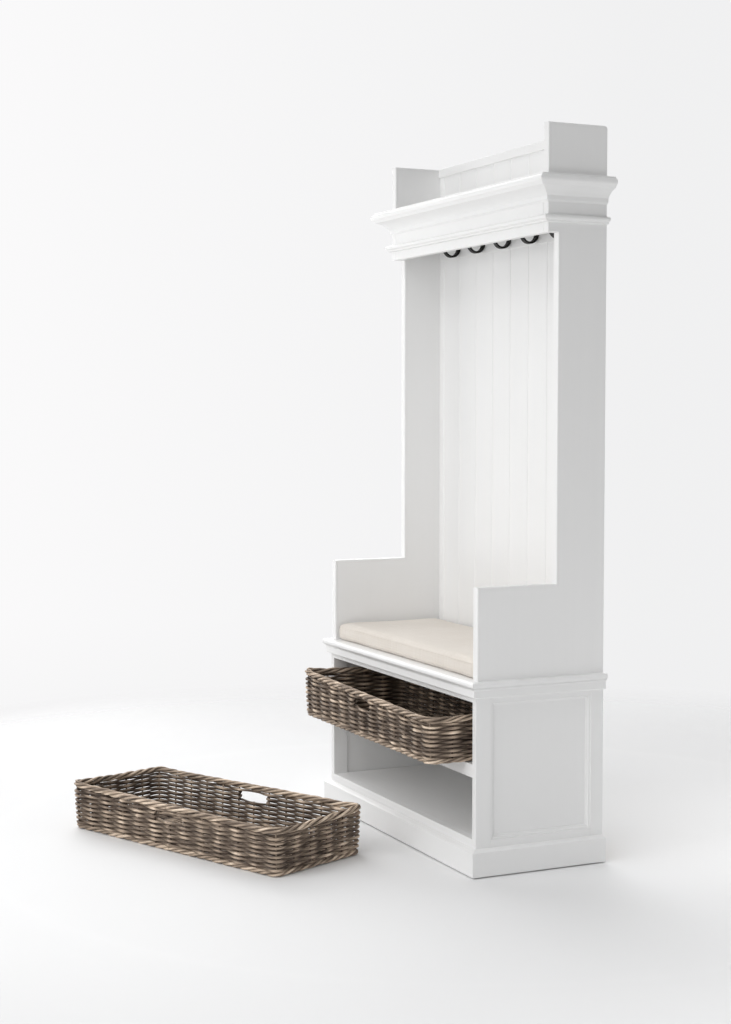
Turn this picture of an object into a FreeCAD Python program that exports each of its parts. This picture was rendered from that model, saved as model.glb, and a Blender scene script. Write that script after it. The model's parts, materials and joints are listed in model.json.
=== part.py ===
import FreeCAD, Part
import math
import os

# A free-standing hall tree: a bench cabinet with two open compartments, a seat cushion, a tall
# hutch with a boarded back and five coat hooks, and two wicker baskets.
# Millimetres. X runs along the width, -Y is the open front, +Z is up. The origin is on the
# floor at the centre of the cabinet's footprint.

V = FreeCAD.Vector

# ---------------------------------------------------------------- driving dimensions
# Overall
overall_height = 1900.0
carcass_width = 907.0
carcass_depth = 375.0
edge_ease = 1.0             # small round on every exposed arris

# Plinth and feet
plinth_proud = 17.0         # thickness of the plinth boards, and how far they stand out
plinth_height = 69.0
plinth_slope = 7.0          # height of the sloping top edge
glide_height = 3.0
glide_radius = 12.0
corner_block = 45.0
bearer_width = 30.0

# Cabinet frame
frame_thickness = 19.0
front_stile_width = 44.0
rear_stile_width = 37.0
side_rail_top = 36.5        # height of the top rail of each side frame
side_rail_bottom = 18.5     # height of the bottom side rail that shows above the plinth
panel_thickness = 6.0
panel_recess = 8.7
panel_tongue = 8.0          # how far each panel runs into the grooves of its frame
groove_clearance = 0.2
panel_mould_width = 12.0
panel_mould_set = 2.5       # how far the moulding stays behind the frame's face
panel_mould_step = 0.45     # share of the moulding that is its flat outer step, and of its depth below

# Cabinet boards, from the floor up
floor_rail_show = 21.0      # bottom front rail that shows above the plinth
floor_rail_height = 60.0
lower_clear = 156.5
shelf_edge = 33.5
upper_clear = 158.5
top_rail_height = 39.0
board_thickness = 18.0
shelf_rail_set = 1.5        # the shelf's front rail stays behind the stiles
cleat = 18.0
cabinet_back_thickness = 6.0
cabinet_back_set = 6.0

# Bench top
slab_thickness = 16.5
slab_overhang = 21.0
slab_round = 7.0
bench_mould_height = 25.0
bench_mould_proud = 12.0
bench_mould_flare = 17.0

# Hutch
hutch_side_thickness = 24.0
arm_depth = 372.0
arm_height = 236.0
post_depth = 144.0
wing_depth = 175.0
wing_height = 275.0
wing_corner_radius = 9.0
bead_inset = 6.0            # distance of the quirk line from the panel's edge
bead_quirk = 1.4
bead_round = 3.0
back_set = 26.0             # face of the boarding, in front of the rear plane
plank_thickness = 12.0
plank_pitch = 100.5
plank_least = 14.0          # the two edge boards are at least this wide
plank_vee = 3.0
plank_tongue = 6.0
plank_tongue_thickness = 4.0
batten_height = 60.0
cap_height = 24.0
cap_proud = 5.0
hook_rail_height = 80.0
hook_rail_proud = 1.5       # the rail is let in between the boards, almost flush
hook_rail_rise = 2.0        # underside of the hook rail, above the fascia's lower edge
fascia_thickness = 18.0
fascia_height = 135.0       # the top shelf is flush with the fascia's upper edge
crown_lip = 7.0             # the crown stands this much above the top shelf
crown_height = 66.0
crown_proud = 49.0
astragal_height = 21.0
astragal_proud = 17.0
astragal_rise = 25.0        # plain face under the astragal

# Coat hooks
hook_count = 5
hook_pitch = 151.0
hook_width = 16.0
hook_thickness = 7.0
hook_bend = 23.0            # centre-line radius of the lower bend
hook_rise = 1.5             # lowest point of the hooks, above the fascia's edge
hook_prong_rise = 20.0
hook_prong_thickness = 4.5
hook_stem_rise = 62.0
hook_upper_root = 24.0      # the upper prong leaves the stem this far below its top
hook_upper_reach = 62.0
hook_upper_rise = 22.0
hook_upper_dip = 5.0
hook_upper_narrow = 2.0     # the upper prong is this much narrower on each side
hook_tip_radius = 6.5
hook_ease = 0.8
screw_head_radius = 3.6
screw_shank_radius = 1.8
screw_length = 16.0
screw_inset = 10.0
screw_room = 0.05

# Seat cushion
cushion_gap = 2.5           # room at each arm and at the back
cushion_front_set = 9.0     # front of the cushion, behind the front of the carcass
cushion_thickness = 48.0
cushion_round = 14.0
loose_clearance = 0.3       # loose things over the board that they lie on

# Wicker baskets
basket_side_room = 34.5     # from the foot to each side of its compartment
basket_back_room = 45.0     # from the foot to the cabinet back, pushed in
basket_headroom = 30.5
basket_flare = 6.0          # how far the rim stands out past the foot, on each side
basket_wall = 10.0
basket_base_thickness = 9.0
basket_corner = 26.0
basket_border = 17.0        # height of the plaited border
basket_border_proud = 2.0
handle_length = 96.0
handle_height = 30.0
upper_basket_out = 105.0    # the upper basket stands this far out of its compartment
floor_basket_x = -177.5
floor_basket_y = -653.7
floor_basket_turn = 23.55

# ---------------------------------------------------------------- worked-out places
half_width = carcass_width / 2.0
rear_y = (carcass_depth + plinth_proud) / 2.0
front_y = rear_y - carcass_depth
inner_x = half_width - frame_thickness
frame_foot_z = glide_height
plinth_top_z = glide_height + plinth_height
cabinet_floor_z = plinth_top_z + floor_rail_show
shelf_top_z = cabinet_floor_z + lower_clear + shelf_edge
top_rail_z = shelf_top_z + upper_clear
slab_z = top_rail_z + top_rail_height
seat_z = slab_z + slab_thickness
rail_back_y = front_y + frame_thickness
cabinet_back_y = rear_y - cabinet_back_set - cabinet_back_thickness

basket_length = 2.0 * (inner_x - basket_side_room)
basket_width = cabinet_back_y - front_y - basket_back_room
basket_height = upper_clear - basket_headroom

hutch_inner_x = half_width - hutch_side_thickness
arm_front_y = rear_y - arm_depth
post_front_y = rear_y - post_depth
wing_front_y = rear_y - wing_depth
arm_top_z = seat_z + arm_height
fascia_z = overall_height - wing_height
top_shelf_z = fascia_z + fascia_height
crown_top_z = top_shelf_z + crown_lip
crown_z = crown_top_z - crown_height
astragal_z = fascia_z + astragal_rise
plank_face_y = rear_y - back_set
plank_back_y = plank_face_y + plank_thickness
cap_z = overall_height - cap_height
hook_rail_z = fascia_z + hook_rail_rise
hook_rail_top_z = hook_rail_z + hook_rail_height
hook_rail_y = plank_face_y - hook_rail_proud

parts = {}


# ---------------------------------------------------------------- helpers
def box(x0, x1, y0, y1, z0, z1):
    """A plain board between two opposite corners."""
    return Part.makeBox(x1 - x0, y1 - y0, z1 - z0, V(x0, y0, z0))


def board(x0, x1, y0, y1, z0, z1, ease=edge_ease):
    """A board whose twelve arrises are all eased by a small round."""
    blank = box(x0, x1, y0, y1, z0, z1)
    return blank.makeFillet(ease, blank.Edges)


def prism(outline, direction):
    """A closed outline of points and three-point arcs, carried straight along a direction.

    An entry is a point, or a pair (via, end) for an arc from the last point.
    """
    edges = []
    first = outline[0]
    last = first
    for entry in outline[1:] + [first]:
        if isinstance(entry, tuple):
            edges.append(Part.Arc(last, entry[0], entry[1]).toShape())
            last = entry[1]
        else:
            edges.append(Part.makeLine(last, entry))
            last = entry
    return Part.Face(Part.Wire(edges)).extrude(direction)


def mirrored(shape):
    """The same piece on the other side of the middle plane."""
    return shape.mirror(V(0, 0, 0), V(1, 0, 0))


def both_sides(name, right):
    """Store a piece of the right-hand side and its mirror image."""
    parts["right_" + name] = right
    parts["left_" + name] = mirrored(right)


def moulding_run(profile, face_x, face_y, back_y, proud):
    """Front length and right-hand return of a moulding, mitred at the corner.

    profile is an outline of (projection, z) entries; an arc is a pair of such entries.
    """
    def place_front(p):
        return V(-face_x - proud, face_y - p[0], p[1])

    def place_side(p):
        return V(face_x + p[0], face_y - proud, p[1])

    def placed(place):
        out = []
        for entry in profile:
            if isinstance(entry[0], tuple):
                out.append((place(entry[0]), place(entry[1])))
            else:
                out.append(place(entry))
        return out

    low = min(e[1] for e in profile if not isinstance(e[0], tuple)) - 1.0
    tall = max(e[1] for e in profile if not isinstance(e[0], tuple)) + 1.0 - low
    corner = V(face_x + proud, face_y - proud, low)
    front_plan = [V(-face_x, face_y, low), V(face_x, face_y, low), corner,
                  V(-face_x - proud, face_y - proud, low)]
    side_plan = [V(face_x, back_y, low), V(face_x, face_y, low), corner,
                 V(face_x + proud, back_y, low)]
    front = prism(placed(place_front), V(2.0 * (face_x + proud), 0, 0))
    side = prism(placed(place_side), V(0, back_y - face_y + proud, 0))
    front = front.common(prism(front_plan, V(0, 0, tall)))
    side = side.common(prism(side_plan, V(0, 0, tall)))
    return front, side


# ---------------------------------------------------------------- plinth, blocks and glides
def make_plinth():
    z0 = glide_height
    arris_z = plinth_top_z - plinth_slope
    profile = [(0.0, z0), (plinth_proud - edge_ease, z0), (plinth_proud, z0 + edge_ease),
               (plinth_proud, arris_z), ((plinth_proud * 0.62, arris_z + plinth_slope * 0.55),
                                         (edge_ease, plinth_top_z)), (0.0, plinth_top_z)]
    front, side = moulding_run(profile, half_width, front_y, rear_y, plinth_proud)
    parts["plinth_front"] = front
    both_sides("plinth", side)
    parts["plinth_back"] = board(-inner_x, inner_x, rear_y - board_thickness, rear_y,
                                 glide_height, plinth_top_z)


def make_feet():
    blocks = []
    glides = [Part.makeCylinder(glide_radius, glide_height, V(0, 0, 0))]
    block_top = cabinet_floor_z - board_thickness - cleat
    for side in (-1, 1):
        x = side * (inner_x - corner_block / 2.0)
        for y in (rail_back_y + corner_block / 2.0, rear_y - board_thickness - corner_block / 2.0):
            half = corner_block / 2.0
            blocks.append(box(x - half, x + half, y - half, y + half, glide_height, block_top))
            glides.append(Part.makeCylinder(glide_radius, glide_height, V(x, y, 0)))
    parts["corner_blocks"] = Part.makeCompound(blocks)
    parts["glides"] = Part.makeCompound(glides)
    parts["centre_bearer"] = box(-bearer_width / 2.0, bearer_width / 2.0, rail_back_y,
                                 rear_y - board_thickness, glide_height,
                                 cabinet_floor_z - board_thickness)


# ---------------------------------------------------------------- side frames of the cabinet
def make_side_frame():
    stile_y = front_y + front_stile_width
    rear_stile_y = rear_y - rear_stile_width
    low_z = plinth_top_z + side_rail_bottom
    high_z = slab_z - side_rail_top
    panel_x = half_width - panel_recess - panel_thickness
    slot = box(panel_x - groove_clearance, half_width - panel_recess + groove_clearance,
               stile_y - panel_tongue - groove_clearance,
               rear_stile_y + panel_tongue + groove_clearance,
               low_z - panel_tongue - groove_clearance, high_z + panel_tongue + groove_clearance)
    front_stile = board(inner_x, half_width, front_y, stile_y, frame_foot_z, slab_z)
    rear_stile = board(inner_x, half_width, rear_stile_y, rear_y, frame_foot_z, slab_z)
    top_rail = board(inner_x, half_width, stile_y, rear_stile_y, high_z, slab_z)
    bottom_rail = board(inner_x, half_width, stile_y, rear_stile_y, frame_foot_z, low_z)
    both_sides("front_stile", front_stile.cut(slot))
    both_sides("rear_stile", rear_stile.cut(slot))
    both_sides("top_rail", top_rail.cut(slot))
    both_sides("bottom_rail", bottom_rail.cut(slot))
    both_sides("panel", box(panel_x, panel_x + panel_thickness, stile_y - panel_tongue,
                            rear_stile_y + panel_tongue, low_z - panel_tongue,
                            high_z + panel_tongue))
    both_sides("panel_moulding", make_panel_moulding(stile_y, rear_stile_y, low_z, high_z))


def make_panel_moulding(y0, y1, z0, z1):
    """Four mitred strips round a side panel, with a stepped and rounded section."""
    back_x = half_width - panel_recess
    face_x = half_width - panel_mould_set
    w = panel_mould_width
    step = w * panel_mould_step
    strips = []
    low = (face_x - back_x) * panel_mould_step

    def strip(corner, along, inward):
        """Section drawn at one end of a side, carried the length of that side."""
        def at(p):
            return corner + inward * p[0] + V(back_x + p[1] - corner.x, 0, 0)
        outline = [at((0, 0)), at((0, face_x - back_x)), at((step, face_x - back_x)),
                   (at((step + (w - step) * 0.35, low * 1.35)), at((w - 1.0, low))),
                   at((w, low - 1.0)), at((w, 0))]
        return prism(outline, along)

    corners = [V(back_x, y0, z0), V(back_x, y1, z0), V(back_x, y1, z1), V(back_x, y0, z1)]
    inwards = [V(0, 0, 1), V(0, -1, 0), V(0, 0, -1), V(0, 1, 0)]
    for i in range(4):
        start = corners[i]
        end = corners[(i + 1) % 4]
        inward = inwards[i]
        along = end - start
        unit = V(along).normalize()
        plan = [start, end, end + inward * w - unit * w, start + inward * w + unit * w]
        wedge = prism(plan, V(panel_recess, 0, 0))
        strips.append(strip(start, along, inward).common(wedge))
    return Part.makeCompound([s.Solids[0] for s in strips])


# ---------------------------------------------------------------- cabinet boards
def make_cabinet():
    parts["bottom_rail"] = board(-inner_x, inner_x, front_y, rail_back_y,
                                 cabinet_floor_z - floor_rail_height, cabinet_floor_z)
    parts["bottom_board"] = box(-inner_x, inner_x, rail_back_y, cabinet_back_y,
                                cabinet_floor_z - board_thickness, cabinet_floor_z)
    parts["shelf_rail"] = board(-inner_x, inner_x, front_y + shelf_rail_set, rail_back_y,
                                shelf_top_z - shelf_edge, shelf_top_z)
    parts["shelf_board"] = box(-inner_x, inner_x, rail_back_y, cabinet_back_y,
                               shelf_top_z - board_thickness, shelf_top_z)
    parts["cabinet_top_rail"] = board(-inner_x, inner_x, front_y, rail_back_y, top_rail_z, slab_z)
    parts["cabinet_back"] = box(-inner_x, inner_x, cabinet_back_y,
                                cabinet_back_y + cabinet_back_thickness, plinth_top_z, slab_z)
    cleats = []
    for top in (cabinet_floor_z - board_thickness, shelf_top_z - board_thickness):
        for x0 in (-inner_x, inner_x - cleat):
            cleats.append(box(x0, x0 + cleat, rail_back_y, rear_y - board_thickness, top - cleat, top))
    parts["board_cleats"] = Part.makeCompound(cleats)


# ---------------------------------------------------------------- bench top and its moulding
def make_bench_top():
    x = half_width + slab_overhang
    slab = box(-x, x, front_y - slab_overhang, rear_y, slab_z, seat_z)
    shown = [e for e in slab.Edges
             if abs(e.CenterOfMass.y - rear_y) > 1.0 and abs(e.tangentAt(0).z) < 0.5]
    parts["bench_slab"] = slab.makeFillet(slab_round, shown)
    z0 = slab_z - bench_mould_height
    p = bench_mould_proud
    profile = [(0.0, z0), (p - 2.0, z0), (p, z0 + 2.0), (p, slab_z - 8.0),
               ((p + 1.2, slab_z - 3.2), (bench_mould_flare, slab_z)), (0.0, slab_z)]
    front, side = moulding_run(profile, half_width, front_y, rear_y, bench_mould_flare)
    parts["bench_moulding_front"] = front
    both_sides("bench_moulding", side)


# ---------------------------------------------------------------- hutch sides
def make_hutch_side():
    """An upright panel with an arm below and a wing above, beaded along its front and top."""
    outline = [(rear_y, seat_z), (rear_y, overall_height), (wing_front_y, overall_height),
               (wing_front_y, fascia_z), (post_front_y, fascia_z), (post_front_y, arm_top_z),
               (arm_front_y, arm_top_z), (arm_front_y, seat_z)]
    points = [V(hutch_inner_x, y, z) for y, z in outline]
    panel = prism(points, V(hutch_side_thickness, 0, 0))
    corner = [e for e in panel.Edges
              if abs(e.CenterOfMass.y - rear_y) < 1.0 and abs(e.CenterOfMass.z - overall_height) < 1.0
              and abs(e.tangentAt(0).x) > 0.5]
    panel = panel.makeFillet(wing_corner_radius, corner)
    rounded = []
    for e in panel.Edges:
        c = e.CenterOfMass
        across = abs(e.tangentAt(0).x) > 0.5
        if not across and c.z > seat_z + 1.0 and c.y < rear_y - 0.5 and e.Curve.TypeId == "Part::GeomLine":
            rounded.append(e)
    panel = panel.makeFillet(bead_round, rounded)
    d = bead_inset
    path = [(arm_front_y + d, seat_z), (arm_front_y + d, arm_top_z - d),
            (post_front_y + d, arm_top_z - d), (post_front_y + d, fascia_z + d),
            (wing_front_y + d, fascia_z + d), (wing_front_y + d, overall_height - d),
            (rear_y - d, overall_height - d)]
    q = bead_quirk / 2.0
    for (y0, z0), (y1, z1) in zip(path, path[1:]):
        for x in (hutch_inner_x, half_width):
            quirk = box(x - q, x + q, min(y0, y1) - q, max(y0, y1) + q, min(z0, z1) - q, max(z0, z1) + q)
            panel = panel.cut(quirk)
    both_sides("hutch_side", panel)


# ---------------------------------------------------------------- boarded back
def plank(x0, x1, tongue, groove, z0, z1):
    """A board with a vee on its front edges, a tongue on its right and a groove on its left."""
    y0 = plank_face_y
    y1 = plank_back_y
    mid = (y0 + y1) / 2.0
    t = plank_tongue_thickness / 2.0
    g = t + groove_clearance
    points = [V(x0, y1, z0)]
    if groove:
        deep = x0 + plank_tongue + groove_clearance
        points += [V(x0, mid + g, z0), V(deep, mid + g, z0), V(deep, mid - g, z0),
                   V(x0, mid - g, z0), V(x0, y0 + plank_vee, z0), V(x0 + plank_vee, y0, z0)]
    else:
        points += [V(x0, y0, z0)]
    if tongue:
        points += [V(x1 - plank_vee, y0, z0), V(x1, y0 + plank_vee, z0), V(x1, mid - t, z0),
                   V(x1 + plank_tongue, mid - t, z0), V(x1 + plank_tongue, mid + t, z0),
                   V(x1, mid + t, z0), V(x1, y1, z0)]
    else:
        points += [V(x1, y0, z0), V(x1, y1, z0)]
    return prism(points, V(0, 0, z1 - z0))


def make_back():
    half_count = int((hutch_inner_x - plank_least) / plank_pitch)
    joints = [i * plank_pitch for i in range(-half_count, half_count + 1)]
    edges = [-hutch_inner_x] + joints + [hutch_inner_x]
    for name, z0, z1 in (("back_planks", seat_z, hook_rail_z), ("upper_planks", hook_rail_top_z, cap_z)):
        planks = []
        for i in range(len(edges) - 1):
            last = i == len(edges) - 2
            planks.append(plank(edges[i], edges[i + 1], not last, i > 0, z0, z1))
        parts[name] = Part.makeCompound(planks)
    battens = []
    middle_z = (seat_z + hook_rail_z) / 2.0
    rail_middle_z = (hook_rail_z + hook_rail_top_z - batten_height) / 2.0
    for z0 in (seat_z, middle_z, rail_middle_z, cap_z - batten_height):
        battens.append(box(-hutch_inner_x, hutch_inner_x, plank_back_y, rear_y, z0, z0 + batten_height))
    parts["back_battens"] = Part.makeCompound(battens)
    parts["cap_rail"] = board(-hutch_inner_x, hutch_inner_x, plank_face_y - cap_proud, rear_y,
                              cap_z, overall_height)
    parts["hook_rail"] = board(-hutch_inner_x, hutch_inner_x, hook_rail_y, plank_back_y,
                               hook_rail_z, hook_rail_top_z)


# ---------------------------------------------------------------- fascia, top shelf and cornice
def make_cornice():
    fascia_back = wing_front_y + fascia_thickness
    parts["fascia"] = board(-hutch_inner_x, hutch_inner_x, wing_front_y, fascia_back,
                            fascia_z, top_shelf_z)
    parts["top_shelf"] = box(-hutch_inner_x, hutch_inner_x, fascia_back, plank_face_y,
                             top_shelf_z - board_thickness, top_shelf_z)
    z = crown_z
    p = crown_proud
    crown = [(0.0, z), (5.0, z + 5.0), (6.0, z + 15.0), (7.0, z + 16.0),
             ((20.0, z + 28.5), (p - 11.0, z + 37.0)), (p - 5.0, z + 44.0),
             ((p, z + 52.0), (p - 6.0, z + 61.0)), (p - 9.0, z + 62.0),
             (p - 9.0, crown_top_z - 1.0), (p - 10.0, crown_top_z), (0.0, crown_top_z)]
    front, side = moulding_run(crown, half_width, wing_front_y, rear_y, crown_proud)
    parts["crown_front"] = front
    both_sides("crown", side)
    z = astragal_z
    p = astragal_proud
    astragal = [(0.0, z), (p - 8.0, z + 1.5), (p - 7.0, z + 5.0), (p - 4.0, z + 6.5),
                ((p, z + 12.0), (p - 5.0, z + 17.5)), (p - 7.0, z + 18.5), (0.0, z + astragal_height)]
    front, side = moulding_run(astragal, half_width, wing_front_y, rear_y, astragal_proud)
    parts["astragal_front"] = front
    both_sides("astragal", side)


# ---------------------------------------------------------------- coat hooks
def make_hook(x):
    """Stem on the rail, a round lower bend with a short prong, and a longer prong above."""
    x0 = x - hook_width / 2.0
    stem_back = hook_rail_y
    stem_face = hook_rail_y - hook_thickness
    prong_y = hook_rail_y - hook_thickness / 2.0 - 2.0 * hook_bend
    prong_back = prong_y + hook_prong_thickness / 2.0
    prong_face = prong_y - hook_prong_thickness / 2.0
    outer_radius = (stem_back - prong_face) / 2.0
    inner_radius = (stem_face - prong_back) / 2.0
    bend_z = fascia_z + hook_rise + outer_radius
    tip_z = bend_z + hook_prong_rise
    stem_top = bend_z + hook_stem_rise

    def at(y, z):
        return V(x0, y, z)

    bar = [at(stem_back, stem_top), at(stem_back, bend_z),
           (at(stem_back - outer_radius, bend_z - outer_radius), at(prong_face, bend_z)),
           at(prong_face, tip_z), at(prong_back, tip_z), at(prong_back, bend_z),
           (at(stem_face - inner_radius, bend_z - inner_radius), at(stem_face, bend_z)),
           at(stem_face, stem_top)]
    hook = prism(bar, V(hook_width, 0, 0))
    hook = hook.makeFillet(hook_ease, [e for e in hook.Edges if abs(e.tangentAt(e.FirstParameter).x) < 0.5])
    return hook_with_upper_prong(hook, x, stem_face, stem_top, (prong_y, tip_z)), stem_face, (
        stem_top - screw_inset, bend_z + screw_inset)


def hook_with_upper_prong(hook, x, stem_face, stem_top, lower_tip):
    """Add the upper prong and both round tips, and drill the two screw holes."""
    half = hook_thickness / 2.0
    root_z = stem_top - hook_upper_root
    tip = (stem_face - hook_upper_reach, root_z + hook_upper_rise)
    middle_y = stem_face - hook_upper_reach * 0.5
    middle_z = root_z - hook_upper_dip
    x0 = x - hook_width / 2.0 + hook_upper_narrow

    def at(y, z):
        return V(x0, y, z)

    root_y = stem_face + half
    prong = [at(root_y, root_z - half), (at(middle_y, middle_z - half), at(tip[0], tip[1] - half)),
             at(tip[0], tip[1] + half), (at(middle_y, middle_z + half), at(root_y, root_z + half))]
    hook = hook.fuse(prism(prong, V(hook_width - 2.0 * hook_upper_narrow, 0, 0)))
    for y, z in (lower_tip, tip):
        hook = hook.fuse(Part.makeSphere(hook_tip_radius, V(x, y, z)))
    bend_z = stem_top - hook_stem_rise
    for z in (stem_top - screw_inset, bend_z + screw_inset):
        hook = hook.cut(screw(x, stem_face, z, screw_room))
    return hook


def screw(x, y, z, room):
    """A countersunk screw into the rail, its head flush with the face at y."""
    head = screw_head_radius + room
    shank = screw_shank_radius + room
    sink = head - shank
    cone = Part.makeCone(head, shank, sink, V(x, y, z), V(0, 1, 0))
    rod = Part.makeCylinder(shank, screw_length, V(x, y, z), V(0, 1, 0))
    return cone.fuse(rod)


def make_hooks():
    screws = []
    rail = parts["hook_rail"]
    for i in range(hook_count):
        x = (i - (hook_count - 1) / 2.0) * hook_pitch
        hook, face_y, heights = make_hook(x)
        parts["hook_%d" % (i + 1)] = hook
        for z in heights:
            screws.append(screw(x, face_y, z, 0.0))
            rail = rail.cut(screw(x, face_y, z, screw_room))
    parts["hook_rail"] = rail
    parts["hook_screws"] = Part.makeCompound(screws)


# ---------------------------------------------------------------- seat cushion
def make_cushion():
    x = hutch_inner_x - cushion_gap
    blank = box(-x, x, front_y + cushion_front_set, plank_face_y - cushion_gap,
                seat_z + loose_clearance, seat_z + loose_clearance + cushion_thickness)
    parts["seat_cushion"] = blank.makeFillet(cushion_round, blank.Edges)


# ---------------------------------------------------------------- wicker baskets
def ring_plan(inset, z):
    """Rounded rectangle, inset from the outside of the rim, as a wire at height z."""
    a = basket_length / 2.0 + basket_flare - inset
    b = basket_width / 2.0 + basket_flare - inset
    r = basket_corner - inset * 0.5
    k = r * (1.0 - math.sqrt(0.5))
    p = [V(-a + r, -b, z), V(a - r, -b, z), (V(a - k, -b + k, z), V(a, -b + r, z)), V(a, b - r, z),
         (V(a - k, b - k, z), V(a - r, b, z)), V(-a + r, b, z),
         (V(-a + k, b - k, z), V(-a, b - r, z)), V(-a, -b + r, z)]
    edges = []
    last = p[0]
    for entry in p[1:]:
        if isinstance(entry, tuple):
            edges.append(Part.Arc(last, entry[0], entry[1]).toShape())
            last = entry[1]
        else:
            edges.append(Part.makeLine(last, entry))
            last = entry
    edges.append(Part.Arc(last, V(-a + k, -b + k, z), p[0]).toShape())
    return Part.Wire(edges)


def basket():
    """Base, two long sides with hand holes, two ends and a border, about the foot's centre."""
    border_z = basket_height - basket_border

    def solid_between(inset_low, inset_high, z0, z1):
        return Part.makeLoft([ring_plan(inset_low, z0), ring_plan(inset_high, z1)], True, True)

    lean = basket_flare * border_z / basket_height
    outside = solid_between(basket_flare, basket_flare - lean, 0.0, border_z)
    inside = solid_between(basket_flare + basket_wall, basket_flare - lean + basket_wall,
                           0.0, border_z)
    wall = outside.cut(inside)
    base = inside.common(box(-basket_length, basket_length, -basket_width, basket_width,
                             0.0, basket_base_thickness))
    end_x = basket_length / 2.0 - basket_corner
    middle = box(-end_x, end_x, -basket_width, basket_width, 0.0, border_z)
    hole = box(-handle_length / 2.0, handle_length / 2.0, -basket_width, basket_width,
               border_z - handle_height, border_z)
    sides = wall.common(middle).cut(hole)
    ends = wall.cut(middle)
    rim_out = solid_between(-basket_border_proud, -basket_border_proud, border_z, basket_height)
    rim_in = solid_between(basket_wall + basket_border_proud, basket_wall + basket_border_proud,
                           border_z, basket_height)
    border = rim_out.cut(rim_in)
    border = border.makeFillet(basket_border * 0.3, [e for e in border.Edges
                                                     if abs(e.CenterOfMass.z - basket_height) < 0.1])
    return {"base": base, "sides": sides, "ends": ends, "border": border}


def place_basket(name, x, y, z, turn):
    for piece, shape in basket().items():
        shape = shape.copy()
        shape.rotate(V(0, 0, 0), V(0, 0, 1), turn)
        shape.translate(V(x, y, z))
        parts[name + "_" + piece] = shape


def make_baskets():
    stowed_y = front_y + basket_width / 2.0
    place_basket("upper_basket", 0.0, stowed_y - upper_basket_out, shelf_top_z + loose_clearance, 0.0)
    place_basket("floor_basket", floor_basket_x, floor_basket_y, 0.0, floor_basket_turn)


make_plinth()
make_feet()
make_side_frame()
make_cabinet()
make_bench_top()
make_hutch_side()
make_back()
make_cornice()
make_hooks()
make_cushion()
make_baskets()

os.makedirs("parts", exist_ok=True)
for name, shape in parts.items():
    shape.exportStep("parts/%s.step" % name)
    box_of = shape.BoundBox
    print("%-24s %2d solids  x %.1f..%.1f  y %.1f..%.1f  z %.1f..%.1f  valid %s" % (
        name, len(shape.Solids), box_of.XMin, box_of.XMax, box_of.YMin, box_of.YMax,
        box_of.ZMin, box_of.ZMax, shape.isValid()))
print(len(parts), "nodes")
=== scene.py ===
# %% [markdown]
# # A hall tree, finished around its CAD frame
#
# The real object is a painted bench cabinet with a tall boarded back, five iron coat hooks, a
# canvas seat cushion and two baskets woven from grey cane. Every board, moulding and hook already
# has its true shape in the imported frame, so this lesson gives those pieces their finishes. The
# cushion and the baskets are soft or woven, which solids cannot show, so they are made here.

# %% Load the frame and keep its box
import json
import math

import bpy
import numpy as np
from mathutils import Matrix, Vector
from mathutils.bvhtree import BVHTree


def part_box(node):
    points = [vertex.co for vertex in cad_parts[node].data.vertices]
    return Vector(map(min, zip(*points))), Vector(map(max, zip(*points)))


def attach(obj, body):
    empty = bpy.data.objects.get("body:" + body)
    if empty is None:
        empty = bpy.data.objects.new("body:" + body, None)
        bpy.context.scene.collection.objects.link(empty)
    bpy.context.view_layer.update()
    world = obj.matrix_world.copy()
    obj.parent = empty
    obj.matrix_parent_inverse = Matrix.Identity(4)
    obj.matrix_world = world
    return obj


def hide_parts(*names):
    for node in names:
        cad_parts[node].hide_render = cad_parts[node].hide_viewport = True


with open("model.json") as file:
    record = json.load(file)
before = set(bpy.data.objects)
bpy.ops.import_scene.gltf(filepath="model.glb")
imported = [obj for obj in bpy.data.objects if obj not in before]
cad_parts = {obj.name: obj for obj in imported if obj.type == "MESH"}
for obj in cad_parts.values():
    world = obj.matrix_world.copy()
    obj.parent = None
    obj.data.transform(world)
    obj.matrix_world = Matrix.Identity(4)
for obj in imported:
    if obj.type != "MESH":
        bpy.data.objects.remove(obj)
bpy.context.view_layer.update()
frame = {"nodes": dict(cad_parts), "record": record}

MM = 0.001

# %% [markdown]
# ## The camera
#
# The view stands to the right of the object, a little above the seat, and looks slightly down with
# a long lens. A camera looks along its own -Z, so its turning is a matrix whose columns are the
# right, up and backward directions of the view.

# %% Camera
camera_turn = math.radians(65.29)
camera_tilt = math.radians(-3.308)
camera_place = (4.1912, -2.2042, 1.1684)
camera_lens = 59.97

view_forward = Vector((-math.sin(camera_turn) * math.cos(camera_tilt),
                       math.cos(camera_turn) * math.cos(camera_tilt),
                       math.sin(camera_tilt)))
view_right = Vector((math.cos(camera_turn), math.sin(camera_turn), 0.0))
view_up = view_right.cross(view_forward)
scene = bpy.context.scene


def linked(name, data):
    """A new object that shows some data, linked to the scene."""
    obj = bpy.data.objects.new(name, data)
    scene.collection.objects.link(obj)
    return obj


camera_data = bpy.data.cameras.new("camera")
camera_data.lens = camera_lens
camera_data.sensor_width = 36.0
camera = linked("camera", camera_data)
camera.location = camera_place
camera.rotation_euler = Matrix((view_right, view_up, -view_forward)).transposed().to_euler()
scene.camera = camera
print("camera looks along", [round(c, 3) for c in view_forward])

# %% [markdown]
# ## Helpers for shader nodes
#
# A material is a small graph. These helpers add a node, set its values and link its sockets, so
# that a material is down to the lines that say what is special about it.

# %% Node helpers
def fill(tree, node, inputs):
    """Fill a node's sockets: another node's socket is linked, any other value is set."""
    for key, value in inputs.items():
        if isinstance(value, bpy.types.NodeSocket):
            tree.links.new(value, node.inputs[key])
        else:
            node.inputs[key].default_value = value


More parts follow.
